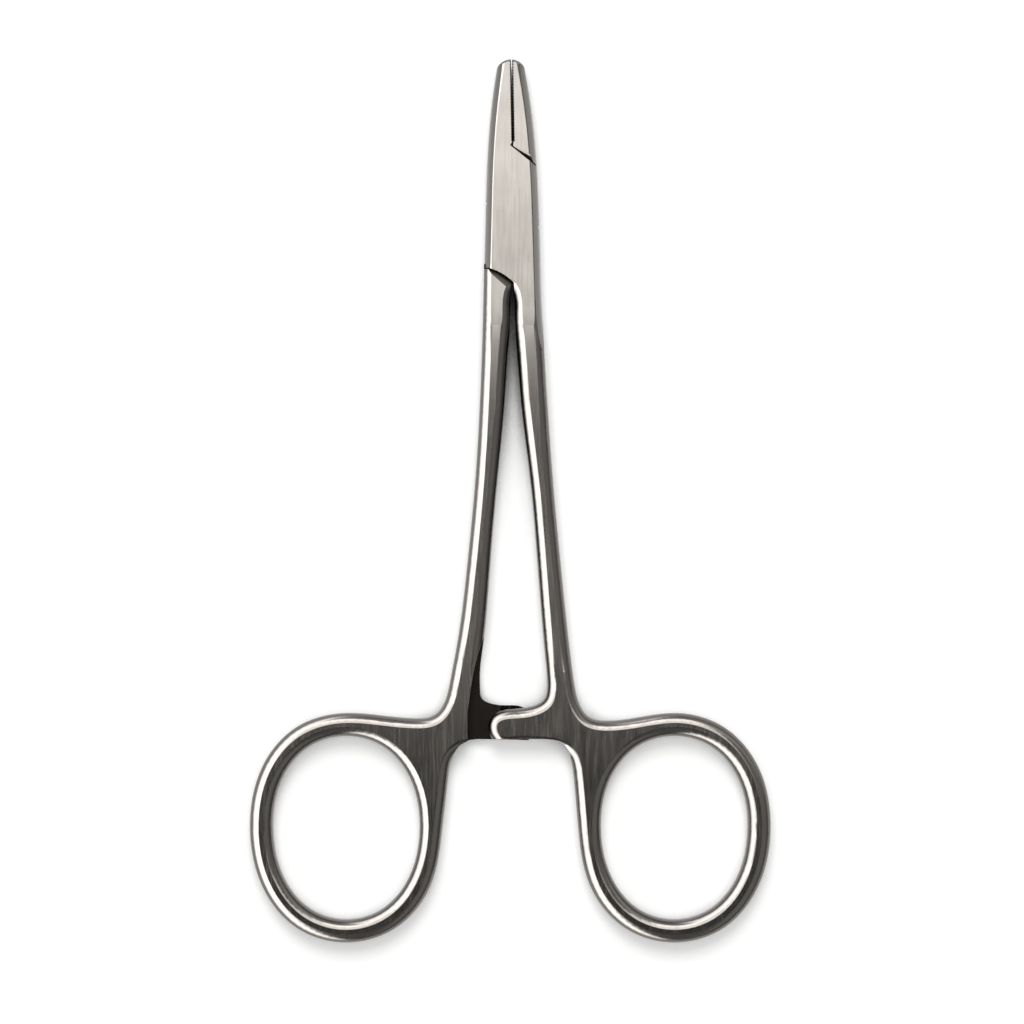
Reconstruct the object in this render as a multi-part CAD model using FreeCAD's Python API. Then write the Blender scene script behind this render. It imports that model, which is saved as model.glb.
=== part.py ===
"""A surgical needle holder lying flat: two forged halves that cross in a box lock, and the pin they turn on.

Millimetres. X is to the right, Y towards the tips of the jaws, Z up through the thickness.
The origin is on the axis of the pin, at the ground underside of the box.
The box half holds the left jaw, the two cheeks of the box, and the right shank, ring and ratchet arm.
The tongue half holds the right jaw, the tongue between the cheeks, and the left shank, ring and ratchet arm.
"""

import FreeCAD
import Part
import math
import os

V = FreeCAD.Vector

# Thickness: heights above the middle plane, the same below it
BOX_HEIGHT = 2.70
MIDDLE = BOX_HEIGHT
HANDLE_HEIGHT = 2.05
TAPER_SAG = 0.36
GRINDING = 0.02
EDGE_ROUND = 1.35
EDGE_LAND = 0.1

# Closed jaws and box: (Y, left edge, right edge), edges as distances from the centre line
TIP_REACH = 23.1
TIP_ALLOWANCE = 0.9
TIP_STATION = 1.9
JAW_STATION = 5.8
BLANK_TOP = TIP_REACH + TIP_ALLOWANCE
SIDES = [(BLANK_TOP, 1.88, 1.47), (TIP_REACH - TIP_STATION, 2.33, 1.99),
         (TIP_REACH - JAW_STATION, 2.89, 2.64), (11.4, 3.46, 3.35), (5.5, 3.76, 3.77), (-0.5, 3.91, 4.01),
         (-6.5, 4.06, 4.17)]
NOSE_X = -0.16
NOSE_LENGTH = 2.2
NOSE_HALF_WIDTH = 2.3
NOSE_BREAK = 0.3
NOSE_BREAK_DEPTH = 0.5

# The jaws thin along an arc from here, so that the blank's tip can still be rounded
TAPER_START = 4.0
TAPER_RUN = BLANK_TOP - TAPER_START
TAPER_FALL = BOX_HEIGHT + GRINDING - EDGE_ROUND - EDGE_LAND
TAPER_RADIUS = (TAPER_RUN ** 2 + TAPER_FALL ** 2) / (2 * TAPER_FALL)

# Bulging sides of the jaws and the box: width of a side in plan, and how much of the blank is cut off there.
# Then (Y, left edge, right edge) where the right side fades into the rounding of the shank.
SIDE_BAND = 0.96
SIDE_CUT = 0.05
SIDE_RISE = 0.15
BOX_FOOT_Y = -7.0
SIDE_FADE = [(-15.0, 4.30, 4.50), (-21.0, 4.40, 5.30), (-28.0, 4.50, 6.60)]

# Y of the top of the finger rings' bores, and the ends of the shanks and of their taper above it
RINGS_TOP = -76.5
SHANK_END_RISE = 13.5
TAPER_END_RISE = 11.5
SHANKS_END = RINGS_TOP + SHANK_END_RISE
SHANK_TAPER = (-11.5, RINGS_TOP + TAPER_END_RISE)

# Shanks: (outer edge, inner edge) at even steps down from their top, as distances from the centre line
SHANKS_START = -15.0
RIGHT_SHANK_TOP = 4.52
RIGHT_SHANK = [(5.19, 1.27), (6.05, 2.68), (7.16, 3.73), (8.42, 4.70)]
RIGHT_THROAT = [(0.62, -18.6), (0.36, -14.6), (0.18, -11.6), (-0.55, -10.4), (-1.87, -10.2), (-3.43, -9.56),
                (-4.05, -8.0)]
RIGHT_FOOT = (0.64, -19.5)
LEFT_SHANK_TOP = 4.29
LEFT_SHANK = [(4.71, 1.05), (5.43, 2.12), (6.56, 3.17), (8.10, 4.25)]
LEFT_THROAT = [(-0.50, -18.6), (-0.22, -14.6), (-0.10, -11.6), (0.6, -10.4), (1.9, -10.2), (3.5, -9.56),
               (4.14, -8.0)]
LEFT_FOOT = (-0.45, -19.5)

# Finger rings
RING_HALF_WIDTH = 10.8
RING_UPPER = 13.1
RING_LOWER = 13.9
RING_FULLNESS = 2.12
RING_BAND = 3.4
RING_STEP = 30
BORE_STEP = 20
RING_Y = RINGS_TOP - RING_UPPER
RIGHT_RING_RIM = 9.7
LEFT_RING_RIM = -10.2
RIGHT_RING_X = RIGHT_RING_RIM + RING_BAND + RING_HALF_WIDTH
LEFT_RING_X = LEFT_RING_RIM - RING_BAND - RING_HALF_WIDTH

# Outlines between a shank and its ring: (X, height above the top of the bores)
RIGHT_NECK = [(9.10, 8.2), (9.75, 5.2), (11.3, 2.85), (14.3, 2.25), (18.9, 2.8)]
RIGHT_ARM_FOOT = [(9.27, -8.0), (9.0, -5.3), (8.72, -3.8), (8.1, -2.6), (7.0, -1.8), (5.0, -1.4), (1.0, -1.3)]
RIGHT_ARM_TOP = [(0.5, 4.05), (3.4, 4.55), (4.7, 5.4), (5.15, 6.9), (5.1, 9.1)]
LEFT_NECK = [(-9.10, 8.2), (-9.85, 5.2), (-11.4, 3.1), (-14.4, 2.6), (-18.9, 3.0)]
LEFT_ARM_FOOT = [(-9.6, -8.0), (-9.33, -5.5), (-9.0, -3.8), (-8.3, -2.6), (-7.1, -1.85), (-5.0, -1.5),
                 (-1.4, -1.4)]
LEFT_ARM_TOP = [(-1.0, 4.5), (-3.4, 4.85), (-4.45, 5.5), (-4.72, 6.9), (-4.75, 9.1)]

# Ends of the ratchet arms: (distance back from the tip, height above the top of the bores)
ARM_TIP = -3.56
MIRROR_X = -0.25
RIGHT_ARM_END = [(1.76, -1.2), (0.5, -0.2), (0.0, 1.35), (0.5, 2.9), (1.86, 3.75)]
LEFT_ARM_END = [(1.56, -1.3), (0.4, -0.3), (0.0, 1.5), (0.4, 3.3), (1.66, 4.3)]

# Box lock
CHEEK = 1.55
SLOT_PLAY = 0.05
JOINT_GAP = 0.2
JOINT_UPPER = [(-0.24, 10.36), (3.61, 7.27)]
JOINT_LOWER = [(-3.76, -7.58), (-1.56, -8.40), (0.27, -9.80)]
JOINT_LOWER_END = (-4.6, -7.35)
WALL_TOP_Y = 10.4
WALL_FOOT = (-2.45, 3.6)
WALL_PLAY = 0.2
JAW_BEVEL = [(0.0, 10.3), (3.1, 8.85)]
SHANK_BEVEL = [(-0.3, -10.9), (-3.6, -8.0)]
BEVEL_FALL = 0.75
BEVEL_WIDTH = 3.0

# Pivot pin
PIN_RADIUS = 1.2
PIN_FLARE = 1.45
PIN_FLARE_DEPTH = 0.6
BORE_PLAY = 0.04

# Gripping faces of the jaws
SLIT_TIP_X = -0.07
SLIT_FOOT_X = 0.15
SLIT_FOOT_Y = 10.9
SLIT_HALF_GAP = 0.09
TEETH_MARGIN = 0.5
TEETH_FROM = SLIT_FOOT_Y + TEETH_MARGIN
TEETH_TO = TIP_REACH - TEETH_MARGIN
TOOTH_PITCH = 0.43
TOOTH_DEPTH = 0.15
LONG_GROOVES = (-1.1, -0.55, 0.0, 0.55, 1.1)

# Ratchet teeth, and edges as (X, height above the top of the bores)
RECESS_EDGE = [(-6.54, -3.5), (-6.54, 3.5), (-6.22, 5.9), (-5.69, 9.1), (-4.99, 12.1), (-3.94, 15.0)]
RATCHET_GAP = 0.03
RATCHET_DEPTH = 0.45
RATCHET_PITCH = 1.5
RATCHET_CREST = 0.25
RATCHET_LAND = 0.5
RATCHET_TEETH = 3
RIGHT_ARCH = [(-9.0, -0.35), (0.0, -0.35), (3.8, -0.37), (6.0, -0.5), (7.3, -0.9), (8.2, -1.9), (8.7, -3.4),
              (8.85, -6.0)]
LEFT_ARCH = [(9.0, -0.6), (0.0, -0.55), (-4.0, -0.5), (-6.5, -0.7), (-7.7, -1.4), (-8.6, -2.7), (-9.05, -4.4),
             (-9.2, -7.0)]

# Cutting tools reach this far, and stand this far above and below the part
FAR = 60.0
CLEAR = 1.0
LOW = -CLEAR
HIGH = 2 * MIDDLE + CLEAR

# Small moves of the end of the shanks' taper, tried in turn, and the span below which an edge lies across Y
TAPER_END_SHIFTS = (0.0, -1.0, 1.0, -2.0, 2.0, -3.5, 3.5)
SEAM_TOLERANCE = 0.01


def flat(points, z=0.0):
    return [V(x, y, z) for x, y in points]


def line(a, b):
    return Part.LineSegment(a, b).toShape()


def spline(points):
    curve = Part.BSplineCurve()
    curve.interpolate(Points=points)
    return curve.toShape()


def prism(points, low=LOW, high=HIGH):
    """A straight-sided solid over a polygon in plan. A pair of points stands for an arc's middle and end."""
    edges = []
    here = points[0]
    for step in points[1:] + points[:1]:
        if isinstance(step[0], tuple):
            middle, end = step
            edges.append(Part.Arc(V(*here, low), V(*middle, low), V(*end, low)).toShape())
        else:
            end = step
            edges.append(line(V(*here, low), V(*end, low)))
        here = end
    return Part.Face(Part.Wire(edges)).extrude(V(0, 0, high - low))


def half_turn(shape):
    """The shape turned by 180 degrees about the pin's axis."""
    turned = shape.copy()
    turned.rotate(V(0, 0, 0), V(0, 0, 1), 180)
    return turned


def turned_over(shape):
    """The shape turned over about the ratchet's centre line, left to right and front to back."""
    turned = shape.copy()
    turned.rotate(V(MIRROR_X, 0, MIDDLE), V(0, 1, 0), 180)
    return turned


def below_middle(shape):
    """The mirror image of the shape in the middle plane."""
    return shape.mirror(V(0, 0, MIDDLE), V(0, 0, 1))


def face_height(y):
    """Height of the ground face above the middle plane, falling along a large arc on the jaws."""
    run = max(0.0, y - TAPER_START)
    return BOX_HEIGHT - (TAPER_RADIUS - math.sqrt(TAPER_RADIUS ** 2 - run ** 2))


def ring_point(side, angle, band):
    """A point of a finger ring, band outside its bore. Angle 0 points outwards, and 90 to the jaws."""
    c = math.cos(math.radians(angle))
    s = math.sin(math.radians(angle))
    centre = RIGHT_RING_X if side > 0 else LEFT_RING_X
    height = RING_UPPER if s > 0 else RING_LOWER
    x = (RING_HALF_WIDTH + band) * math.copysign(abs(c) ** (2 / RING_FULLNESS), c)
    y = (height + band) * math.copysign(abs(s) ** (2 / RING_FULLNESS), s)
    return centre + side * x, RING_Y + y


def ring_outline(side):
    return [ring_point(side, angle, RING_BAND) for angle in range(90, -181, -RING_STEP)]


def above_bores(points):
    return [(x, RINGS_TOP + height) for x, height in points]


def shank_levels():
    """Y of the stations at which the widths of the shanks are given."""
    count = len(RIGHT_SHANK)
    return [SHANKS_START + (SHANKS_END - SHANKS_START) * n / count for n in range(1, count + 1)]


def right_outline():
    """Plan of the right lever: closed jaws and box, right shank, ring and front ratchet arm."""
    shank = [(y, outer, inner) for y, (outer, inner) in zip(shank_levels(), RIGHT_SHANK)]
    points = [(right + SIDE_CUT, y) for y, left, right in SIDES] + [(RIGHT_SHANK_TOP, SHANKS_START)]
    points += [(outer, y) for y, outer, inner in shank]
    points += above_bores(RIGHT_NECK) + ring_outline(1)
    points += above_bores(RIGHT_ARM_FOOT + [(ARM_TIP + back, height) for back, height in RIGHT_ARM_END])
    points += above_bores(RIGHT_ARM_TOP)
    points += [(inner, y) for y, outer, inner in reversed(shank)] + RIGHT_THROAT
    return points + [(-left - SIDE_CUT, y) for y, left, right in reversed(SIDES)]


def left_outline():
    """Plan of the left lever: closed jaws and box, left shank, ring and back ratchet arm."""
    tip = 2 * MIRROR_X - ARM_TIP
    shank = [(y, outer, inner) for y, (outer, inner) in zip(shank_levels(), LEFT_SHANK)]
    points = [(-left - SIDE_CUT, y) for y, left, right in SIDES] + [(-LEFT_SHANK_TOP, SHANKS_START)]
    points += [(-outer, y) for y, outer, inner in shank]
    points += above_bores(LEFT_NECK) + ring_outline(-1)
    points += above_bores(LEFT_ARM_FOOT + [(tip - back, height) for back, height in LEFT_ARM_END])
    points += above_bores(LEFT_ARM_TOP)
    points += [(-inner, y) for y, outer, inner in reversed(shank)] + LEFT_THROAT
    return points + [(right + SIDE_CUT, y) for y, left, right in reversed(SIDES)]


def side_slab(upper_edges):
    """A slab whose upper side follows edges in the plane X = -FAR. Its lower side mirrors it."""
    upper = Part.Wire(upper_edges)
    lower = below_middle(upper)
    corners = (upper.OrderedVertexes[0].Point, upper.OrderedVertexes[-1].Point)
    ends = [line(corner, V(corner.x, corner.y, 2 * MIDDLE - corner.z)) for corner in corners]
    edges = Part.__sortEdges__(upper.Edges + lower.Edges + ends)
    return Part.Face(Part.Wire(edges)).extrude(V(2 * FAR, 0, 0))


def jaw_taper(extra):
    top = BLANK_TOP + CLEAR
    stations = (TAPER_START, (TAPER_START + top) / 2, top)
    return Part.Arc(*[V(-FAR, y, MIDDLE + extra + face_height(y)) for y in stations]).toShape()


def forged_slab(shift):
    """Thickness of the blank, with the allowance that is ground off the box and the jaws."""
    box_z = MIDDLE + BOX_HEIGHT + GRINDING
    handle_z = MIDDLE + HANDLE_HEIGHT
    box_foot = V(-FAR, SHANK_TAPER[0], box_z)
    box_top = V(-FAR, TAPER_START, box_z)
    handle_top = V(-FAR, SHANK_TAPER[1] + shift, handle_z)
    half_way = V(-FAR, sum(SHANK_TAPER) / 2, handle_z + TAPER_SAG * (box_z - handle_z))
    shank = Part.BSplineCurve()
    level = V(0, 1, 0)
    shank.interpolate(Points=[handle_top, half_way, box_foot], InitialTangent=level, FinalTangent=level)
    handle = line(V(-FAR, -2 * FAR, handle_z), handle_top)
    return side_slab([handle, shank.toShape(), line(box_foot, box_top), jaw_taper(GRINDING)])


def ground_slab():
    """The flat faces of the box, and those of the jaws that taper from it."""
    start = V(-FAR, -2 * FAR, MIDDLE + BOX_HEIGHT)
    end = V(-FAR, TAPER_START, MIDDLE + BOX_HEIGHT)
    return side_slab([line(start, end), jaw_taper(0.0)])


def nose():
    """Plan limit of the jaws: an arc round the tip with its edges broken, and no limit further down."""
    base = TIP_REACH - NOSE_LENGTH
    right, left = NOSE_X + NOSE_HALF_WIDTH, NOSE_X - NOSE_HALF_WIDTH
    arc = prism([(-FAR, -2 * FAR), (FAR, -2 * FAR), (FAR, base), (right, base),
                 ((NOSE_X, TIP_REACH), (left, base)), (-FAR, base)])
    radius = (NOSE_HALF_WIDTH ** 2 + NOSE_LENGTH ** 2) / (2 * NOSE_LENGTH)
    spread = NOSE_BREAK / NOSE_BREAK_DEPTH
    rise = face_height(TIP_REACH) + CLEAR
    narrow = radius - NOSE_BREAK - spread * CLEAR
    profile = [(0.0, rise), (narrow, rise), (narrow + spread * rise, 0.0), (narrow, -rise), (0.0, -rise)]
    outline = [V(NOSE_X + x, TIP_REACH - radius, MIDDLE + z) for x, z in profile]
    cone = Part.Face(Part.makePolygon(outline + outline[:1])).revolve(outline[0], V(0, 0, 1), 360)
    shanks_and_box = prism([(-FAR, -2 * FAR), (FAR, -2 * FAR), (FAR, base), (-FAR, base)])
    return arc.common(shanks_and_box.fuse(cone))


def rounded_forging(prismatic):
    """Gives the plan its thickness and rounds its rims. The taper's end moves if a seam is in the way."""
    for shift in TAPER_END_SHIFTS:
        solid = prismatic.common(forged_slab(shift)).Solids[0]
        rims = [edge for edge in solid.Edges if edge.BoundBox.YLength > SEAM_TOLERANCE]
        try:
            rounded = solid.makeFillet(EDGE_ROUND, rims)
        except Part.OCCError:
            continue
        if rounded.isValid():
            return rounded
    raise ValueError("no place for the end of the taper lets the rims be rounded")


def side_section(y, left, right):
    """Section of the closed jaws or box: flat above and below, with sides that bulge along arcs."""
    half = face_height(y) + SIDE_RISE
    band = SIDE_BAND * (half / face_height(y)) ** 2
    top_left, top_right = V(band - left, y, MIDDLE + half), V(right - band, y, MIDDLE + half)
    low_left, low_right = V(band - left, y, MIDDLE - half), V(right - band, y, MIDDLE - half)
    right_side = Part.Arc(top_right, V(right, y, MIDDLE), low_right).toShape()
    left_side = Part.Arc(low_left, V(-left, y, MIDDLE), top_left).toShape()
    return Part.Wire([line(top_left, top_right), right_side, line(low_right, low_left), left_side])


def outside_of_sides(foot_y):
    """Room beyond the bulging sides, from a level up to the tip of the blank."""
    sections = [side_section(*station) for station in SIDES + SIDE_FADE]
    room = prism([(-FAR, foot_y), (FAR, foot_y), (FAR, BLANK_TOP), (-FAR, BLANK_TOP)])
    return room.cut(Part.makeLoft(sections, True, False))


def lever_blank(side):
    """One rounded and ground lever, with the closed jaws and the box still in one piece."""
    points = flat(right_outline() if side > 0 else left_outline(), LOW)
    plan = Part.Wire([spline(points), line(points[-1], points[0])])
    bore = Part.BSplineCurve()
    bore_points = [ring_point(side, angle, 0.0) for angle in range(0, 360, BORE_STEP)]
    bore.interpolate(Points=flat(bore_points, LOW), PeriodicFlag=True)
    prismatic = Part.Face([plan, Part.Wire([bore.toShape()])]).extrude(V(0, 0, HIGH - LOW))
    forging = rounded_forging(prismatic).common(ground_slab()).common(nose())
    return forging.cut(outside_of_sides(SIDE_FADE[-1][0] if side > 0 else BOX_FOOT_Y))


def lock_wall(play):
    """Room of the box's left wall: left of the tongue's neck and outside its round waist."""
    foot_x, foot_y = WALL_FOOT
    foot_run = foot_x / (WALL_TOP_Y - foot_y) * WALL_TOP_Y
    corners = [(0.0, WALL_TOP_Y), (foot_run, 0.0), (-FAR, 0.0), (-FAR, WALL_TOP_Y)]
    wall = prism([(x + play, y) for x, y in corners])
    waist = Part.makeCylinder(math.hypot(foot_x, foot_y) - play, HIGH - LOW + 2 * CLEAR, V(0, 0, LOW - CLEAR))
    return wall.cut(waist)


def slot():
    """The slot between the cheeks: all of the box at that height except its two walls."""
    corners = [(-FAR, -WALL_TOP_Y), (FAR, -WALL_TOP_Y), (FAR, WALL_TOP_Y), (-FAR, WALL_TOP_Y)]
    bed = prism(corners, CHEEK, 2 * MIDDLE - CHEEK)
    return bed.cut(lock_wall(0.0)).cut(half_turn(lock_wall(0.0)))


def cheek_room(low, high):
    """Plan area of a cheek, widened by the gap at its two joint lines, which run on past the box's sides."""
    corner, side = JOINT_UPPER
    run, rise = side[0] - corner[0], side[1] - corner[1]
    length = math.hypot(run, rise)
    shift_x, shift_y = -rise / length * JOINT_GAP, run / length * JOINT_GAP
    start = (corner[0] + shift_x - run, corner[1] + shift_y - rise)
    end = (side[0] + shift_x + run, side[1] + shift_y + rise)
    a, b, c = [(x - JOINT_GAP / 4, y - JOINT_GAP) for x, y in JOINT_LOWER]
    joint_lines = [start, end, (FAR, end[1]), (FAR, c[1]), c, (b, a)]
    return prism([(-FAR, start[1])] + joint_lines + [(-FAR, a[1])], low, high)


def shoulder_bevel(line_ends, at_jaw):
    """A sloping cut that starts at a line on the front face and falls towards the joint with the cheek."""
    start, end = line_ends
    run, rise = end[0] - start[0], end[1] - start[1]
    length = math.hypot(run, rise)
    along = V(run / length, rise / length, 0)
    out = V(rise / length, -run / length, 0)
    z = MIDDLE + (face_height((start[1] + end[1]) / 2) if at_jaw else BOX_HEIGHT)
    origin = V(start[0], start[1], z) - along * CLEAR
    corners = [origin, origin + out * BEVEL_WIDTH + V(0, 0, -BEVEL_FALL * BEVEL_WIDTH),
               origin + out * BEVEL_WIDTH + V(0, 0, CLEAR), origin + V(0, 0, CLEAR)]
    return Part.Face(Part.makePolygon(corners + corners[:1])).extrude(along * (length + 2 * CLEAR))


def gripping_line(offset):
    """Plan line of a jaw's gripping face: its foot, and a point beyond the tip of the jaw."""
    slope = (SLIT_TIP_X - SLIT_FOOT_X) / (TIP_REACH - SLIT_FOOT_Y)
    top = BLANK_TOP + CLEAR
    foot_x = SLIT_FOOT_X + offset
    return (foot_x, SLIT_FOOT_Y), (foot_x + slope * (top - SLIT_FOOT_Y), top)


def grip_grooves(side):
    """V grooves across the gripping face and along it, which leave rows of small pyramids between them."""
    (foot_x, foot_y), (top_x, top_y) = gripping_line(side * SLIT_HALF_GAP)
    lean = math.degrees(math.atan2(foot_x - top_x, top_y - foot_y))
    half = TOOTH_PITCH / 2
    deep = side * TOOTH_DEPTH
    tools = []
    count = int((TEETH_TO - TEETH_FROM) / TOOTH_PITCH)
    for n in range(count):
        y = TEETH_FROM - foot_y + n * TOOTH_PITCH
        tools.append(prism([(deep, y), (-deep, y - 2 * half), (-deep, y + 2 * half)]))
    for z in LONG_GROOVES:
        near = TEETH_FROM - foot_y - TOOTH_PITCH
        section = [(deep, z), (-deep, z - 2 * half), (-deep, z + 2 * half)]
        corners = [V(x, near, MIDDLE + height) for x, height in section]
        tools.append(Part.Face(Part.makePolygon(corners + corners[:1])).extrude(V(0, top_y - TEETH_FROM, 0)))
    grooves = Part.makeCompound(tools)
    grooves.rotate(V(0, 0, 0), V(0, 0, 1), lean)
    grooves.translate(V(foot_x, foot_y, 0))
    return grooves


def arch_cutter(edge):
    """Takes the rounding off the lower edge of a ratchet arm, and fades out on the side of the ring."""
    points = flat(above_bores(edge), LOW)
    corner = V(points[0].x, points[-1].y, LOW)
    ends = [line(points[-1], corner), line(corner, points[0])]
    return Part.Face(Part.Wire([spline(points)] + ends)).extrude(V(0, 0, HIGH - LOW))


def ratchet_recess():
    """What the left lever lacks on the front, from the step to past its arm. Its teeth are left standing."""
    crest = MIDDLE - RATCHET_GAP
    floor = crest - RATCHET_DEPTH
    edge = flat(above_bores(RECESS_EDGE), floor)
    far_corners = [V(FAR, edge[-1].y, floor), V(FAR, edge[0].y, floor)]
    sides = [line(edge[0], edge[1]), spline(edge[1:]), line(edge[-1], far_corners[0]), line(*far_corners)]
    room = Part.Face(Part.Wire(sides + [line(far_corners[1], edge[0])])).extrude(V(0, 0, HIGH - floor))
    start = 2 * MIRROR_X - ARM_TIP - RATCHET_LAND
    teeth = []
    for n in range(1, RATCHET_TEETH + 1):
        x = start - n * RATCHET_PITCH
        profile = [(x, floor - CLEAR), (x, crest), (x + RATCHET_CREST, crest), (x + RATCHET_PITCH, floor),
                   (x + RATCHET_PITCH, floor - CLEAR)]
        corners = [V(px, edge[0].y - CLEAR, pz) for px, pz in profile]
        tooth = Part.Face(Part.makePolygon(corners + corners[:1]))
        teeth.append(tooth.extrude(V(0, edge[-1].y - edge[0].y + 2 * CLEAR, 0)))
    return room.cut(teeth)


def box_half(pin):
    """Left jaw, box with its two cheeks, right shank, right ring and the ratchet arm on the front."""
    foot, top = gripping_line(-SLIT_HALF_GAP)
    corner, side = JOINT_UPPER
    fall = (side[1] - corner[1]) / (side[0] - corner[0])
    right_jaw = prism([corner, foot, top, (FAR, top[1]), (FAR, corner[1] + fall * (FAR - corner[0]))])
    a, b, c = JOINT_LOWER
    far_side = [(-FAR, RIGHT_FOOT[1]), (-FAR, JOINT_LOWER_END[1])]
    left_shank = prism([JOINT_LOWER_END, a, (b, c), RIGHT_FOOT] + far_side)
    body = lever_blank(1).cut([right_jaw, left_shank])
    body = body.cut(slot())
    body = body.cut(grip_grooves(-1))
    body = body.cut(arch_cutter(RIGHT_ARCH))
    body = body.cut(turned_over(ratchet_recess()))
    return body.cut(pin)


def tongue_half():
    """Right jaw, tongue, left shank, left ring and the ratchet arm on the back."""
    foot, top = gripping_line(SLIT_HALF_GAP)
    left_jaw = prism([(WALL_PLAY, WALL_TOP_Y), foot, top, (-FAR, top[1]), (-FAR, WALL_TOP_Y)])
    right_shank = prism([(-WALL_PLAY, -WALL_TOP_Y), LEFT_FOOT, (FAR, LEFT_FOOT[1]), (FAR, -WALL_TOP_Y)])
    body = lever_blank(-1).cut([left_jaw, right_shank])
    walls = lock_wall(WALL_PLAY)
    body = body.cut([walls, half_turn(walls)])
    tongue_z = CHEEK + SLOT_PLAY
    body = body.cut([cheek_room(LOW, tongue_z), cheek_room(2 * MIDDLE - tongue_z, HIGH)])
    for bevel in (shoulder_bevel(JAW_BEVEL, True), shoulder_bevel(SHANK_BEVEL, False)):
        body = body.cut([bevel, below_middle(bevel)])
    body = body.cut(grip_grooves(1))
    body = body.cut(arch_cutter(LEFT_ARCH))
    body = body.cut(ratchet_recess())
    return body.cut(Part.makeCylinder(PIN_RADIUS + BORE_PLAY, HIGH - LOW, V(0, 0, LOW)))


def pivot_pin():
    """Pin riveted into both cheeks, with flared ends ground flush."""
    straight = Part.makeCylinder(PIN_RADIUS, 2 * MIDDLE)
    lower = Part.makeCone(PIN_FLARE, PIN_RADIUS, PIN_FLARE_DEPTH)
    return straight.fuse([lower, below_middle(lower)]).removeSplitter()


def one_solid(name, shape):
    if len(shape.Solids) != 1:
        raise ValueError("%s is in %d pieces" % (name, len(shape.Solids)))
    return shape.Solids[0]


os.makedirs("parts", exist_ok=True)
pin = pivot_pin()
for name, shape in (("pivot_pin", pin), ("box_half", box_half(pin)), ("tongue_half", tongue_half())):
    one_solid(name, shape).exportStep("parts/%s.step" % name)
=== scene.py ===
# %% [markdown]
# # A surgical needle holder on a white studio table
# The needle holder is a clamp that holds a curved needle. It lies flat, with its jaws at the top
# of the picture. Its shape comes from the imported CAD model, so this lesson is about its steel, the
# light and the camera. Everything is in metres, X to the right, Y to the jaws and Z up, with Z = 0
# on the table.

# %% Load the frame
import math

import bmesh
import bpy
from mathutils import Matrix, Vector

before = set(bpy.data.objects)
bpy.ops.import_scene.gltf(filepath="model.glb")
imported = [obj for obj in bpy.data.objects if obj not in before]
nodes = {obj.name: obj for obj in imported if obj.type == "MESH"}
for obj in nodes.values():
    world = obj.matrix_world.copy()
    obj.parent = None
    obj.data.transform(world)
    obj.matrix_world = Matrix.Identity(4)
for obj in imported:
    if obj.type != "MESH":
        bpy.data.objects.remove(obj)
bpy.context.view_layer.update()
print("nodes:", sorted(nodes))

# %% [markdown]
# Colours are given as sRGB hex values. Shaders add and multiply light, so they need
# linear values, and one function turns every colour of the lesson. A second one adds any node to a
# tree. Nodes could also be placed by hand in the editor, but a script gives the same tree each
# time, and can be read from top to bottom. Inputs are given by name, or as a list in their order:
# a Math node takes its numbers, and a Map Range node a value, the two ends of its old range and
# the two ends of its new one, which are 0 and 1 if they are left out.

# %% Two helpers: a colour and a node
MM = 0.001


def linear(hex_colour):
    """An sRGB hex colour as the linear RGBA that Blender's shaders use."""
    channels = [int(hex_colour[i:i + 2], 16) / 255 for i in (1, 3, 5)]
    light = [c / 12.92 if c <= 0.04045 else ((c + 0.055) / 1.055) ** 2.4 for c in channels]
    return (*light, 1.0)


def add(tree, kind, inputs=(), **settings):
    """Adds a node and sets or links its inputs, where a node stands for its first output."""
    node = tree.nodes.new("ShaderNode" + kind)
    for name, value in settings.items():
        setattr(node, name, value)
    for key, value in inputs.items() if isinstance(inputs, dict) else enumerate(inputs):
        if isinstance(value, bpy.types.Node):
            value = value.outputs[0]
        if isinstance(value, bpy.types.NodeSocket):
            tree.links.new(value, node.inputs[key])
        else:
            node.inputs[key].default_value = value
    return node


print("mid grey #808080 is", round(linear("#808080")[0], 3), "in linear light")

# %% [markdown]
# ## The steel
# Needle holders are forged from stainless steel, hardened, ground flat on the jaws and the box,
# and given a satin finish, so that they don't dazzle under a theatre lamp. Satin steel has three
# layers to the eye: the warm grey of the metal, fine lines left by the belt, and faint cloudy
# patches where the hand pressed more. A picture of steel could show all of it, but would have to
# be unwrapped over every rounding. Noise fills space and has no seams. Stretched, it gives lines,
# and its scale is one over its real size in metres.

# %% One stretched noise for every line
SWAY_SPACING = 9 * MM        # how far apart the bends of a wandering line are


def stretched_noise(tree, width, length, turn=0.0, bend=0.0, detail=3.0):
    """Noise drawn out into lines along Y, turned about Z, and bent by a slow second noise."""
    place = add(tree, "TexCoord").outputs["Object"]
    if bend:
        slow = add(tree, "TexNoise", {"Vector": place, "Scale": 1 / SWAY_SPACING, "Detail": 1.0})
        centred = add(tree, "VectorMath", [slow.outputs["Color"], (0.5, 0.5, 0.5)],
                      operation="SUBTRACT")
        sway = add(tree, "VectorMath", {0: centred, "Scale": bend}, operation="SCALE")
        place = add(tree, "VectorMath", [place, sway], operation="ADD")
    stretched = add(tree, "Mapping", {"Vector": place, "Rotation": (0, 0, turn),
                                      "Scale": (1 / width, 1 / length, 1 / width)})
    return add(tree, "TexNoise", {"Vector": stretched, "Scale": 1.0, "Detail": detail})


print("lines bend every %.0f mm" % (SWAY_SPACING / MM))

# %% [markdown]
# Five patterns make the finish. Belt lines wander a little, as a hand on the belt lets them. Lines
# that lie close together form streaks. Clouds and a fine grain fill the grey between, and use adds
# a few scratches across. The real lines and grain are too fine to show, so they are drawn coarser.

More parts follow.
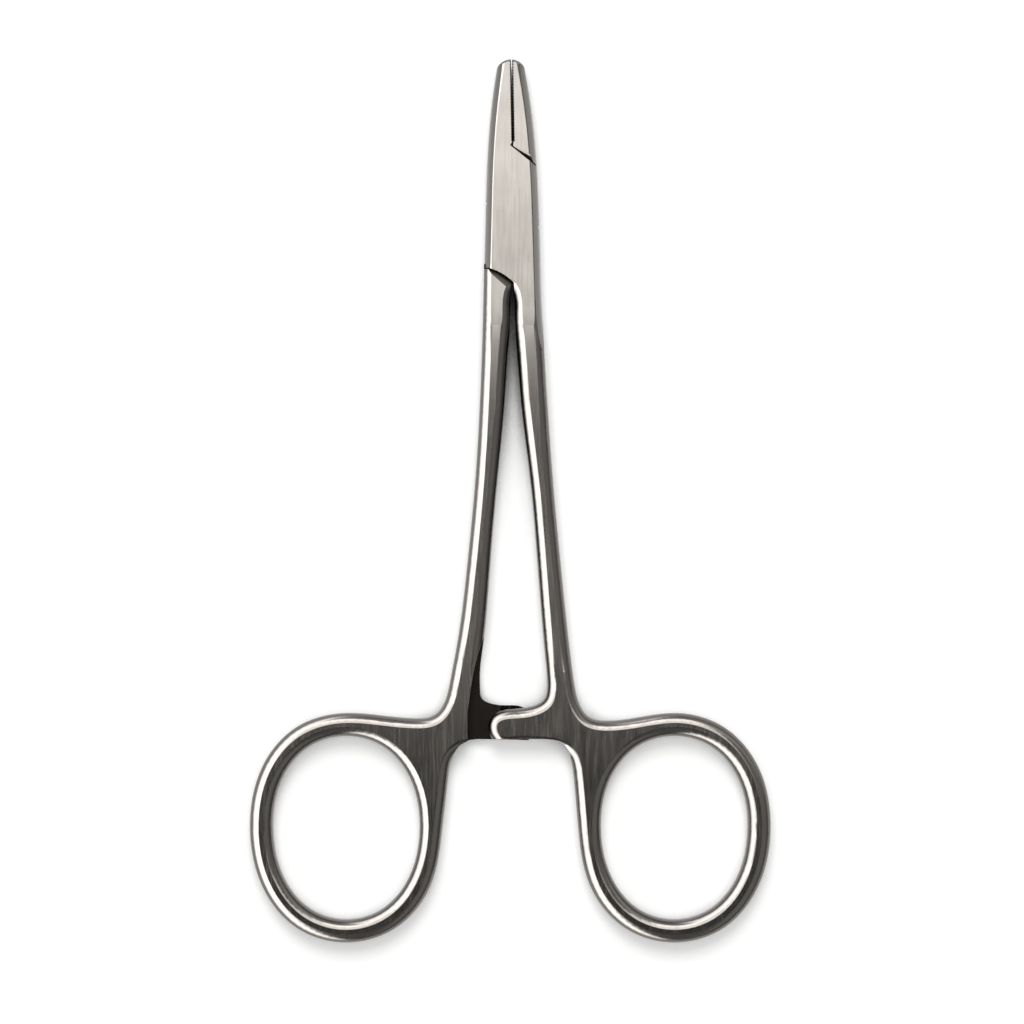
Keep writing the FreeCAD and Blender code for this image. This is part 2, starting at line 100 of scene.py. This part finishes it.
# %% Patterns of a satin finish
LINE_WIDTH = 0.14 * MM       # belt lines are nearer 0.03 mm, drawn coarser so that they show
LINE_LENGTH = 5.0 * MM
LINE_SWAY = 0.6 * MM
STREAK_WIDTH = 0.35 * MM     # bundles of lines, which show as streaks from afar
STREAK_LENGTH = 9.0 * MM
STREAK_RANGE = (0.48, 0.66)
CLOUD_SIZE = 2.5 * MM
GRAIN_SIZE = 0.18 * MM       # the blasted look of the grey between the lines, also drawn coarser
SCRATCH_WIDTH = 0.09 * MM
SCRATCH_LENGTH = 2.5 * MM
SCRATCH_SWAY = 4 * MM
SCRATCH_TURN = math.radians(25)


def satin_patterns(tree, turn):
    """The patterns of a satin finish, with its lines turned by an angle."""
    bundles = stretched_noise(tree, STREAK_WIDTH, STREAK_LENGTH, turn, LINE_SWAY)
    return {
        "lines": stretched_noise(tree, LINE_WIDTH, LINE_LENGTH, turn, LINE_SWAY),
        "streaks": add(tree, "MapRange", [bundles, *STREAK_RANGE]),
        "clouds": stretched_noise(tree, CLOUD_SIZE, 2 * CLOUD_SIZE, turn, detail=2.0),
        "grain": stretched_noise(tree, GRAIN_SIZE, GRAIN_SIZE, detail=1.0),
        "scratches": stretched_noise(tree, SCRATCH_WIDTH, SCRATCH_LENGTH, turn + SCRATCH_TURN,
                                     SCRATCH_SWAY, detail=2.0),
    }


print("belt lines every %.2f mm, about %.0f mm long" % (LINE_WIDTH / MM, LINE_LENGTH / MM))

# %% [markdown]
# Between the teeth of the jaws lies deep shade, which shows at the edges of the gripping faces as a
# jagged dark line. The teeth are in the CAD model, but they are only 0.15 mm deep, which is about
# one pixel of the picture. So the line is drawn here as painted shade, in the colour. Its middle
# runs from the foot of the jaws to their tips, and a zigzag, as long as one tooth, makes it wider
# and narrower.

# %% Painted shade between the teeth
GRIP_FOOT = (0.15 * MM, 10.9 * MM)   # X and Y where the gripping faces start
GRIP_TIP = (-0.07 * MM, 23.1 * MM)
TOOTH_PITCH = 0.43 * MM
GRIP_SHADE_WIDTH = 0.19 * MM            # from the middle of the line to the inner ends of the zigzag
GRIP_SHADE_SWING = 0.5                  # the slope of the zigzag
GRIP_SHADE_BLUR = 0.03 * MM
FOOT_BLUR = 0.1 * MM


# Painted shade: a dark jagged line along the gripping edges of the jaws.
def grip_shade_line(tree, spot):
    """The share of painted shade at a spot on the jaws."""
    slant = (GRIP_TIP[0] - GRIP_FOOT[0]) / (GRIP_TIP[1] - GRIP_FOOT[1])
    past_foot = add(tree, "Math", [spot["Y"], GRIP_FOOT[1]], operation="SUBTRACT")
    line = add(tree, "Math", [past_foot, slant, GRIP_FOOT[0]], operation="MULTIPLY_ADD")
    from_line = add(tree, "Math", [spot["X"], line], operation="SUBTRACT")
    distance = add(tree, "Math", [from_line], operation="ABSOLUTE")
    tooth = add(tree, "Math", [past_foot, TOOTH_PITCH / 2], operation="PINGPONG")
    width = add(tree, "Math", [tooth, GRIP_SHADE_SWING, GRIP_SHADE_WIDTH], operation="MULTIPLY_ADD")
    beside = add(tree, "Math", [distance, width], operation="SUBTRACT")
    in_line = add(tree, "MapRange", [beside, GRIP_SHADE_BLUR, -GRIP_SHADE_BLUR])
    on_jaws = add(tree, "MapRange", [past_foot, -FOOT_BLUR, FOOT_BLUR])
    return add(tree, "Math", [in_line, on_jaws], operation="MULTIPLY")


print("teeth of the zigzag: about", round((GRIP_TIP[1] - GRIP_FOOT[1]) / TOOTH_PITCH))

# %% [markdown]
# One forging shows several steels. Its flat faces were ground and satined. Its rims weren't ground
# after the forging was tumbled, so they are rougher, and painted shade draws them darker. Inside the
# lock and the ratchet, the milled faces are rougher and painted shade draws them dark, and painted
# shade makes the crevices and a line along the jaws near black.
# Material slots could hold these steels, but the borders are soft, so the shader finds them: the
# upright share of the surface's normal tells faces from rims, the height tells the milled faces
# near the middle plane, and the ambient occlusion finds the crevices.

# %% Which steel is where
MIDDLE_HEIGHT = 2.7 * MM             # the middle plane of the instrument
MILLED_EDGE = (1.3 * MM, 1.2 * MM)   # from the middle plane
MILLED_UPRIGHT = (0.6, 0.7)
GROUND_UPRIGHT = (0.72, 0.93)
CREVICE_REACH = 0.8 * MM
CREVICE_OPEN = (0.20, 0.60)
OCCLUSION_SAMPLES = 8


def steel_zones(tree, place, spot):
    """Shares from 0 to 1: of ground face, of mill-cut inner face, of steel without painted shade."""
    normal = add(tree, "SeparateXYZ", [place["Normal"]])
    upright = add(tree, "Math", [normal.outputs["Z"]], operation="ABSOLUTE")
    # Painted shade: the rims, with little upright share, are drawn darker than the ground faces.
    ground = add(tree, "MapRange", [upright, *GROUND_UPRIGHT])
    from_middle = add(tree, "Math", [spot["Z"], MIDDLE_HEIGHT], operation="SUBTRACT")
    depth = add(tree, "Math", [from_middle], operation="ABSOLUTE")
    near_middle = add(tree, "MapRange", [depth, *MILLED_EDGE])
    level = add(tree, "MapRange", [upright, *MILLED_UPRIGHT])
    # Painted shade: the recess faces near the middle plane are drawn dark, and they are also
    # rougher.
    recess = add(tree, "Math", [level, near_middle], operation="MULTIPLY")
    # Painted shade: the crevices, which the ambient occlusion finds, and the line along the jaws are
    # drawn near black.
    crevice = add(tree, "AmbientOcclusion", {"Distance": CREVICE_REACH},
                  samples=OCCLUSION_SAMPLES)
    unoccluded = add(tree, "MapRange", [crevice.outputs["AO"], *CREVICE_OPEN])
    off_grip_shade = add(tree, "Math", [1.0, grip_shade_line(tree, spot)], operation="SUBTRACT")
    unshaded = add(tree, "Math", [unoccluded, off_grip_shade], operation="MULTIPLY")
    return ground, recess, unshaded


print("milled faces: up to %.1f mm from the middle plane" % (MILLED_EDGE[0] / MM))

# %% [markdown]
# A metal's colour is the share of light that it mirrors back, a slightly warm grey for stainless
# steel. Clouds and streaks vary it a little on the ground faces. Cast shadows come from the light,
# but the darker rims, the recess faces and the crevices are painted shade in this colour. Each row
# of the table below mixes the colour so far with one more, and the painted crevice shade comes
# last, because it covers all.

# %% Colour of the steel
NOISE_RANGE = (0.35, 0.65)           # most values of a noise lie between these
STEEL = "#DCD6CF"
STEEL_CLOUD = "#D5CEC7"
STEEL_STREAK = "#C3B6AA"
STREAK_SHARE = 0.2
# Painted shade: the rims are drawn in a darker grey than the ground faces.
STEEL_SIDE_SHADE = "#75726F"
# Painted shade: the recess faces inside the lock and the ratchet are drawn dark.
RECESS_SHADE = "#3A3632"
# Painted shade: the crevices and the jagged line along the jaws are drawn near black.
CREVICE_SHADE = "#1F1C1A"


def steel_colour(tree, pattern, ground, recess, unshaded):
    """The steel's colour. In each row, None is the colour so far."""
    clouds = add(tree, "MapRange", [pattern["clouds"], *NOISE_RANGE])
    streaks = add(tree, "Math", [pattern["streaks"], STREAK_SHARE], operation="MULTIPLY")
    colour = linear(STEEL)
    # The last three rows paint shade: darker rims, dark recess faces and near-black crevices.
    for share, at_none, at_full in ((clouds, None, STEEL_CLOUD),
                                    (streaks, None, STEEL_STREAK),
                                    (ground, STEEL_SIDE_SHADE, None),
                                    (recess, None, RECESS_SHADE),
                                    (unshaded, CREVICE_SHADE, None)):
        ends = [linear(end) if end else colour for end in (at_none, at_full)]
        mixed = add(tree, "Mix", {"Factor": share, 6: ends[0], 7: ends[1]}, data_type="RGBA")
        colour = mixed.outputs[2]
    return colour


print("steel mirrors", [round(c, 2) for c in linear(STEEL)[:3]], "of red, green and blue")

# %% [markdown]
# The roughness says how far the mirrored studio is blurred. It moves in a narrow band on the
# ground faces, because a satin finish is even. The rims, the milled faces and the streaks are
# rougher, and each adds its own amount.

# %% Roughness of the steel
SATIN_ROUGHNESS = 0.12
LINE_ROUGHNESS = 0.015               # up and down from it
CLOUD_ROUGHNESS = 0.01
RIM_ROUGHNESS = 0.10                 # added to it
MILLED_ROUGHNESS = 0.15
STREAK_ROUGHNESS = 0.035


def steel_roughness(tree, pattern, ground, recess):
    """The roughness of the satin, with what the rims, milled faces and streaks add."""
    lines = add(tree, "MapRange", [pattern["lines"], *NOISE_RANGE,
                                   -LINE_ROUGHNESS, LINE_ROUGHNESS])
    clouds = add(tree, "MapRange", [pattern["clouds"], *NOISE_RANGE,
                                    SATIN_ROUGHNESS - CLOUD_ROUGHNESS,
                                    SATIN_ROUGHNESS + CLOUD_ROUGHNESS])
    rims = add(tree, "MapRange", [ground, 0.0, 1.0, RIM_ROUGHNESS, 0.0])
    rough = add(tree, "Math", [lines, clouds], operation="ADD")
    rough = add(tree, "Math", [rough, rims], operation="ADD")
    rough = add(tree, "Math", [recess, MILLED_ROUGHNESS, rough], operation="MULTIPLY_ADD")
    return add(tree, "Math", [pattern["streaks"], STREAK_ROUGHNESS, rough],
               operation="MULTIPLY_ADD")


print("satin roughness", SATIN_ROUGHNESS, "rims", round(SATIN_ROUGHNESS + RIM_ROUGHNESS, 2))

# %% [markdown]
# Three things bend the mirrored light. The relief of the belt lines, a few thousandths of a
# millimetre, does it everywhere: a Bump node is enough for it, because it is far too low to show
# in the outline. A Bevel node rounds the sharp edges by a tenth of a millimetre, as tumbling does,
# except around the pin, which was ground with the box. Where the ground faces of the shanks end, a
# hand has polished the corner away, so the relief takes off a height there that turns the one
# slope softly into the other.

# %% A polished corner and broken edges
RELIEF = 0.003 * MM
GROUND_END = -16.01 * MM             # Y where the ground faces of the shanks end
GROUND_END_SLOPE = 0.017             # by how much the slope changes there
POLISH_REACH = 2.5 * MM
EDGE_RADIUS = 0.1 * MM
EDGE_SAMPLES = 6
PIN_EDGE = (2.0 * MM, 2.2 * MM)      # from the pin's axis, inside which the edges stay sharp


def polished_end(tree, along):
    """The height that polishing takes off around the end of the ground faces, over RELIEF."""
    from_end = add(tree, "Math", [along, GROUND_END], operation="SUBTRACT")
    distance = add(tree, "Math", [from_end], operation="ABSOLUTE")
    reached = add(tree, "Math", [POLISH_REACH, distance], operation="SUBTRACT")
    near = add(tree, "Math", [reached, 0.0], operation="MAXIMUM")
    square = add(tree, "Math", [near, near], operation="MULTIPLY")
    steepness = GROUND_END_SLOPE / (4 * POLISH_REACH * RELIEF)
    return add(tree, "Math", [square, steepness], operation="MULTIPLY")


def broken_edges(tree, spot):
    """The normal with rounded edges, except near the pin."""
    squares = [add(tree, "Math", [spot[axis], spot[axis]], operation="MULTIPLY") for axis in "XY"]
    sum_of_squares = add(tree, "Math", squares, operation="ADD")
    from_pin = add(tree, "Math", [sum_of_squares], operation="SQRT")
    radius = add(tree, "MapRange", [from_pin, *PIN_EDGE, 0.0, EDGE_RADIUS])
    return add(tree, "Bevel", {"Radius": radius}, samples=EDGE_SAMPLES)


turn_at_end = math.degrees(math.atan(GROUND_END_SLOPE))
print("the corner of the ground faces turns by %.1f degrees" % turn_at_end)

# %% [markdown]
# One function brings all of this together, so that the three steels can't drift apart. Metallic is
# 1 all over, so it is set on the shader itself. The two levers were satined one by one, so the
# lines of the second lie at another angle and its scratches are fainter. The pin was ground
# together with the box, and has the box's finish.

# %% Three satin steels
GRAIN_SHARE = 0.15
SCRATCH_RANGE = (0.60, 0.72)


def steel_normal(tree, pattern, spot, scratch_depth):
    """The normal of the steel, with the depth of its scratches given as a share of RELIEF."""
    cut = add(tree, "MapRange", [pattern["scratches"], *SCRATCH_RANGE, 0.0, scratch_depth])
    relief = add(tree, "Math", [pattern["lines"], cut], operation="SUBTRACT")
    relief = add(tree, "Math", [pattern["grain"], GRAIN_SHARE, relief], operation="MULTIPLY_ADD")
    relief = add(tree, "Math", [relief, polished_end(tree, spot["Y"])], operation="SUBTRACT")
    return add(tree, "Bump", {"Height": relief, "Strength": 1.0, "Distance": RELIEF,
                              "Normal": broken_edges(tree, spot)})


def empty_material(name):
    """A new material without nodes, and its tree."""
    material = bpy.data.materials.new(name)
    material.use_nodes = True
    material.node_tree.nodes.clear()
    return material, material.node_tree


def satin_steel(name, turn, scratch_depth):
    """Ground and satined stainless steel, with its lines turned by an angle."""
    material, tree = empty_material(name)
    place = add(tree, "TexCoord").outputs
    spot = add(tree, "SeparateXYZ", [place["Object"]]).outputs
    pattern = satin_patterns(tree, turn)
    ground, recess, unshaded = steel_zones(tree, place, spot)
    shader = add(tree, "BsdfPrincipled", {
        "Base Color": steel_colour(tree, pattern, ground, recess, unshaded),
        "Metallic": 1.0,
        "Roughness": steel_roughness(tree, pattern, ground, recess),
        "Normal": steel_normal(tree, pattern, spot, scratch_depth),
    })
    add(tree, "OutputMaterial", {"Surface": shader})
    return material


steels = {
    "box_half": satin_steel("satin_ground_stainless_steel_front", 0.0, 0.35),
    "tongue_half": satin_steel("satin_ground_stainless_steel_back", math.radians(4), 0.30),
    "pivot_pin": satin_steel("ground_stainless_pin", 0.0, 0.35),
}
print("nodes in each steel:", [len(steel.node_tree.nodes) for steel in steels.values()])

# %% [markdown]
# The CAD nodes keep their shape and place, and only take these materials. Each lever has one steel
# all over, because it is one forging. The pin is ground flush with the box, so it hardly shows.

# %% Put the steel on the three parts
for node_name, steel in steels.items():
    slots = nodes[node_name].material_slots
    for slot in slots:
        slot.material = steel
    print(node_name, "has", len(slots), "material slot, now", steel.name)

# %% [markdown]
# ## The table
# A white sheet lies under the instrument. It is matt, so that it only shows the soft shadow. More
# light would make it white too, but would be too much for anything else on the table. So a weak
# glow, which only rays from the camera, from mirrors and through glass see, lifts the lit sheet to
# white and lets the shadow stay. Deep in a narrow gap the glow fades out and the sheet's colour
# turns dark grey: that is a painted shadow, like the shade between the shanks of the real one.

# %% Matt white paper
PAPER = "#FBFBFA"
# Painted shadow: the sheet's colour deep in narrow gaps.
PAPER_GAP_SHADOW = "#4C4B4A"
PAPER_ROUGHNESS = 0.9
PAPER_GLOW = 0.32
GAP_REACH = 6.0 * MM
GAP_OPEN = (0.22, 0.48)

paper, sheet = empty_material("matt_white_paper")
gap = add(sheet, "AmbientOcclusion", {"Distance": GAP_REACH}, samples=OCCLUSION_SAMPLES)
in_the_open = add(sheet, "MapRange", [gap.outputs["AO"], *GAP_OPEN])
paper_colour = add(sheet, "Mix", {"Factor": in_the_open, 6: linear(PAPER_GAP_SHADOW),
                                  7: linear(PAPER)}, data_type="RGBA")
matt = add(sheet, "BsdfPrincipled", {"Base Color": paper_colour.outputs[2],
                                     "Roughness": PAPER_ROUGHNESS, "Specular IOR Level": 0.0})
path = add(sheet, "LightPath").outputs
seen = add(sheet, "Math", [path["Is Camera Ray"], path["Is Glossy Ray"]], operation="ADD")
seen = add(sheet, "Math", [seen, path["Is Transmission Ray"]], operation="ADD")
# Painted shadow: the glow fades out in narrow gaps too.
open_glow = add(sheet, "Math", [in_the_open, PAPER_GLOW], operation="MULTIPLY")
strength = add(sheet, "Math", [seen, open_glow], operation="MULTIPLY")
glow = add(sheet, "Emission", {"Color": (1, 1, 1, 1), "Strength": strength})
add(sheet, "OutputMaterial", {"Surface": add(sheet, "AddShader", [matt, glow])})
print(paper.name, "glows with", PAPER_GLOW)

# %% [markdown]
# The sheet is one flat face, since paper is far thinner than anything that the picture shows. It
# is made large, because the steel's rims mirror it down to a low angle. It is the stage and not a
# part of the object.

# %% The sheet
TABLE_HALF_SIDE = 1.5

table_mesh = bmesh.new()
bmesh.ops.create_grid(table_mesh, x_segments=1, y_segments=1, size=TABLE_HALF_SIDE)
table_data = bpy.data.meshes.new("table")
table_mesh.to_mesh(table_data)
table_mesh.free()
table_data.materials.append(paper)
table = bpy.data.objects.new("table", table_data)
bpy.context.scene.collection.objects.link(table)
print("table of", 2 * TABLE_HALF_SIDE, "m")

# %% [markdown]
# ## The light
# Polished metal shows its surroundings, so the studio is as much a part of the look as the steel.
# It could be built of glowing planes, but those would stand in the way of other views. Here it is
# drawn in the world's shader, from the direction of each ray. How far a ray goes ahead or aside
# for each metre that it rises, its slope, says where it would meet a ceiling. So bands of slopes
# make a screen, a window and walls with soft edges.

# %% Where a mirrored ray goes
LOWEST_RISE = 0.02                   # rays near or below the horizon count as rising by this much

world = bpy.data.worlds.new("studio")
bpy.context.scene.world = world
world.use_nodes = True
sky = world.node_tree
sky.nodes.clear()
ray = add(sky, "SeparateXYZ", [add(sky, "TexCoord").outputs["Generated"]]).outputs
rise = add(sky, "Math", [ray["Z"], LOWEST_RISE], operation="MAXIMUM")
ahead = add(sky, "Math", [ray["Y"], rise], operation="DIVIDE")
back = add(sky, "Math", [ahead, -1.0], operation="MULTIPLY")
to_right = add(sky, "Math", [ray["X"], rise], operation="DIVIDE")
to_left = add(sky, "Math", [to_right, -1.0], operation="MULTIPLY")
print("world:", world.name)

# %% [markdown]
# A large white ceiling screen hangs over the jaws' side and fades out above the middle of the
# instrument. The flat faces near the jaws mirror it and turn pale, and those near the rings mirror
# the dark room beyond its edge. Its light is the product of four bands. Each is one Map Range
# node, and the smoother step gives an edge without a visible start or end.

# %% A ceiling screen
SOFT = {"interpolation_type": "SMOOTHERSTEP"}
SCREEN_NEAR_EDGE = (-0.03, 0.062)    # slopes ahead
SCREEN_RISE = (0.36, 0.60)
SCREEN_FAR_EDGE = (0.80, 1.15)
SCREEN_RIGHT_EDGE = (0.12, 0.50)     # slopes to the right
SCREEN_LIGHT = 1.04
SCREEN_FAR_LIGHT = 1.5

screen = add(sky, "MapRange", [ahead, *SCREEN_NEAR_EDGE])
for band in (
        add(sky, "MapRange", [ahead, *SCREEN_RISE, SCREEN_LIGHT, SCREEN_FAR_LIGHT], **SOFT),
        add(sky, "MapRange", [ahead, *SCREEN_FAR_EDGE, 1.0, 0.0], **SOFT),
        add(sky, "MapRange", [to_right, *SCREEN_RIGHT_EDGE, 1.0, 0.0], **SOFT)):
    screen = add(sky, "Math", [screen, band], operation="MULTIPLY")
print("screen", SCREEN_LIGHT, "and far off", SCREEN_FAR_LIGHT)

# %% [markdown]
# A tall white window on the left draws the lines along every rounding that faces it, and dims
# towards its foot. Walls and a dark room fill what is left, and the brightest of all these wins in
# each direction. Only mirrored rays see them. For all other rays the world is one even light, so
# that what lights the sheet doesn't depend on what the steel mirrors.

# %% A window, walls and one even light
WINDOW_NEAR_EDGE = (0.09, 0.55)      # slopes to the left
WINDOW_FAR_EDGE = (2.2, 6.0)
WINDOW_LIGHT = 1.9
WINDOW_FOOT_LIGHT = 0.6
ROOM_LIGHT = 0.027
FAR_WALL_LIGHT = 0.30                # beyond the jaws, over the same slopes as SCREEN_RISE
NEAR_WALL_EDGE = (0.15, 0.60)        # slopes back
NEAR_WALL_LIGHT = 0.075
RIGHT_WALL_EDGE = (0.06, 0.50)       # slopes to the right
RIGHT_WALL_LIGHT = 0.13
EVEN_LIGHT = 0.15

head = add(sky, "MapRange", [to_left, *WINDOW_NEAR_EDGE, 0.0, WINDOW_LIGHT], **SOFT)
foot_share = WINDOW_FOOT_LIGHT / WINDOW_LIGHT
foot = add(sky, "MapRange", [to_left, *WINDOW_FAR_EDGE, 1.0, foot_share], **SOFT)
window = add(sky, "Math", [head, foot], operation="MULTIPLY")
far_wall = add(sky, "MapRange", [ahead, *SCREEN_RISE, ROOM_LIGHT, FAR_WALL_LIGHT], **SOFT)
near_wall = add(sky, "MapRange", [back, *NEAR_WALL_EDGE, ROOM_LIGHT, NEAR_WALL_LIGHT], **SOFT)
right_wall = add(sky, "MapRange", [to_right, *RIGHT_WALL_EDGE, ROOM_LIGHT, RIGHT_WALL_LIGHT],
                 **SOFT)
mirrored = screen
for surroundings in (window, far_wall, near_wall, right_wall):
    mirrored = add(sky, "Math", [mirrored, surroundings], operation="MAXIMUM")
is_mirrored = add(sky, "LightPath").outputs["Is Glossy Ray"]
even = add(sky, "MapRange", [is_mirrored, 0.0, 1.0, EVEN_LIGHT, 0.0])
light = add(sky, "Math", [is_mirrored, mirrored, even], operation="MULTIPLY_ADD")
background = add(sky, "Background", {"Color": (1, 1, 1, 1), "Strength": light})
add(sky, "OutputWorld", {"Surface": background})
print("window", WINDOW_LIGHT, "room", ROOM_LIGHT, "even light", EVEN_LIGHT)

# %% [markdown]
# Two square lamps light the table: a key beyond the jaws, which casts a short soft shadow towards
# the rings, and a fill overhead. They are flagged off from the steel, as a photographer does with
# black card, so that it keeps its dark side. An area lamp's radiance is its power over its area
# and pi, so the helper takes the radiance, which says how bright a lamp looks at any size.

# %% Lamps
MIDDLE_OF_PART = Vector((0.0, -0.042, 0.0))


def area_lamp(name, centre, side, radiance):
    """A square lamp that faces the middle of the part, with its surface's brightness given."""
    lamp = bpy.data.lights.new(name, "AREA")
    lamp.shape = "SQUARE"
    lamp.size = side
    lamp.energy = radiance * math.pi * side * side
    holder = bpy.data.objects.new(name, lamp)
    holder.location = centre
    aim = MIDDLE_OF_PART - Vector(centre)
    holder.rotation_euler = aim.to_track_quat("-Z", "Y").to_euler()
    holder.visible_glossy = False
    bpy.context.scene.collection.objects.link(holder)
    print(name, "has %.1f W" % lamp.energy)


area_lamp("key_lamp", centre=(-0.08, 0.66, 1.25), side=0.6, radiance=8.0)
area_lamp("fill_lamp", centre=(0.0, -0.05, 1.6), side=1.0, radiance=2.2)

# %% [markdown]
# ## The camera
# The photograph looks straight down with a long lens. The frame is 150.9 mm wide at the middle of
# the steel's thickness, with its centre 43.5 mm below the pin. The lens's focal length follows
# from the sensor's width, the distance and that width.

# %% A long lens, straight down
CAMERA_HEIGHT = 0.70                 # above the middle plane of the instrument
SENSOR_WIDTH = 36.0                  # in millimetres, as Blender has it
VIEW_WIDTH = 150.9 * MM
VIEW_CENTRE = (0.0, -43.5 * MM)

lens = bpy.data.cameras.new("camera")
lens.sensor_width = SENSOR_WIDTH
lens.lens = SENSOR_WIDTH * CAMERA_HEIGHT / VIEW_WIDTH
lens.clip_start, lens.clip_end = 0.05, 10.0
camera = bpy.data.objects.new("camera", lens)
camera.location = (*VIEW_CENTRE, CAMERA_HEIGHT + MIDDLE_HEIGHT)
bpy.context.scene.collection.objects.link(camera)
bpy.context.scene.camera = camera
bpy.context.scene.view_settings.view_transform = "Standard"
print("focal length %.0f mm at %.2f m" % (lens.lens, CAMERA_HEIGHT))
